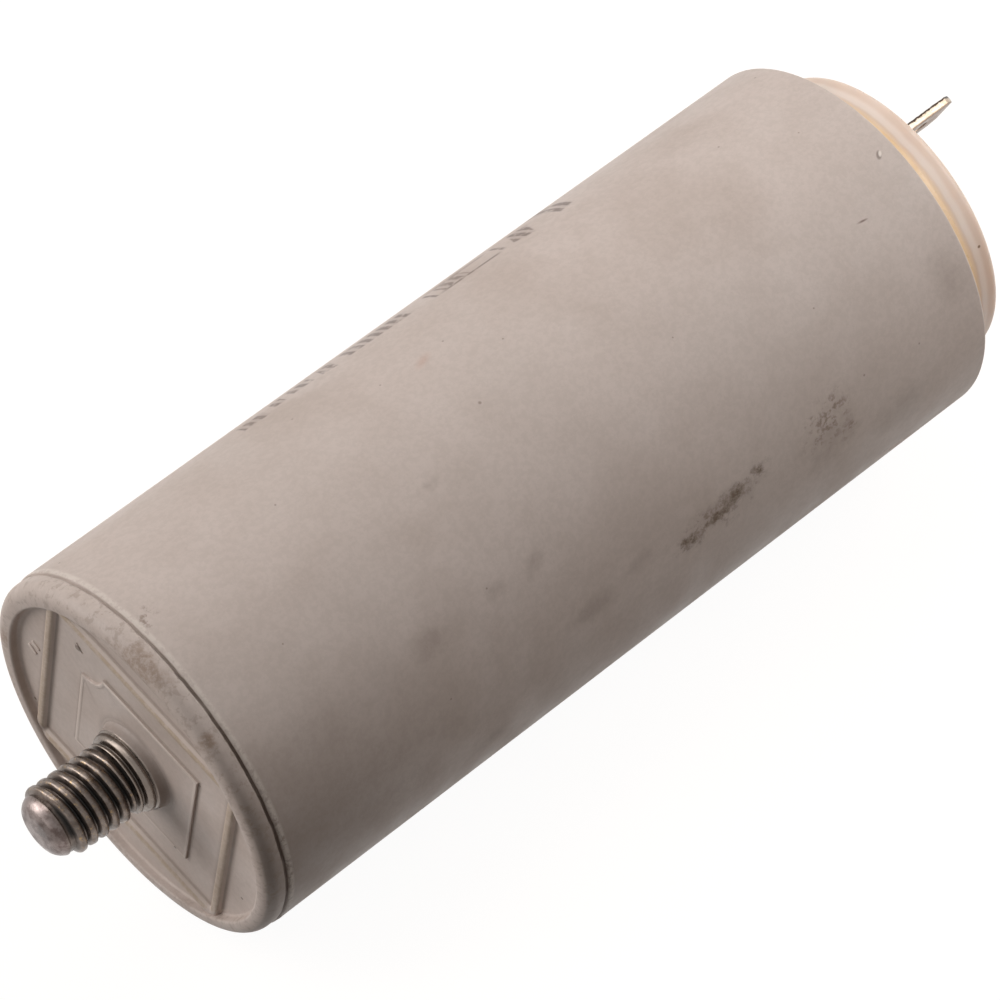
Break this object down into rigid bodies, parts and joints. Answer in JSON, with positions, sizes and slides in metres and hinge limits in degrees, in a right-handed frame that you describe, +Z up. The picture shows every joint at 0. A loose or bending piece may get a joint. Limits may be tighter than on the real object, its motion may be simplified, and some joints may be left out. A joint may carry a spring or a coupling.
{
  "type": "motor run capacitor",
  "caption": "Cylindrical capacitor in a moulded grey plastic case, with a threaded mounting stud at one end and push-on tabs on a cream lid at the other.",
  "frame": {"origin": "on the case's axis, in the plane of the bead that seats on the mounting panel, where the stud comes out", "axes": "+X along the case's axis from the stud end to the terminal end, +Z up as the part lies on its side, +Y to the far side"},
  "size_m": [0.1191, 0.04, 0.04],
  "materials": {
    "case": "moulded, semi-matt",
    "lid": "moulded, satin",
    "seal": "cast resin",
    "stud": "plated steel, dull",
    "terminal": "tinned",
    "wire": "tinned copper",
    "sleeve": "plain",
    "zinc": "sprayed metal and solder",
    "film": "metallised film",
    "core": "plain",
    "wrap": "film and tape",
    "board": "hard board",
    "resin": "cast resin"
  },
  "bodies": {
    "root": {"case": "case", "mounting_stud": "stud", "lid": "lid", "mouth_seal": "seal", "tab_a": "terminal", "tab_b": "terminal", "rivet_a": "terminal", "rivet_b": "terminal", "solder_tag_a": "terminal", "solder_tag_b": "terminal", "lead_a": "wire", "lead_b": "wire", "sleeve_a": "sleeve", "sleeve_b": "sleeve", "solder_joint_a": "zinc", "solder_joint_b": "zinc", "end_spray_top": "zinc", "end_spray_bottom": "zinc", "film_winding": "film", "winding_core": "core", "winding_wrap": "wrap", "base_insulator": "board", "potting_resin": "resin"}
  },
  "joints": []
}
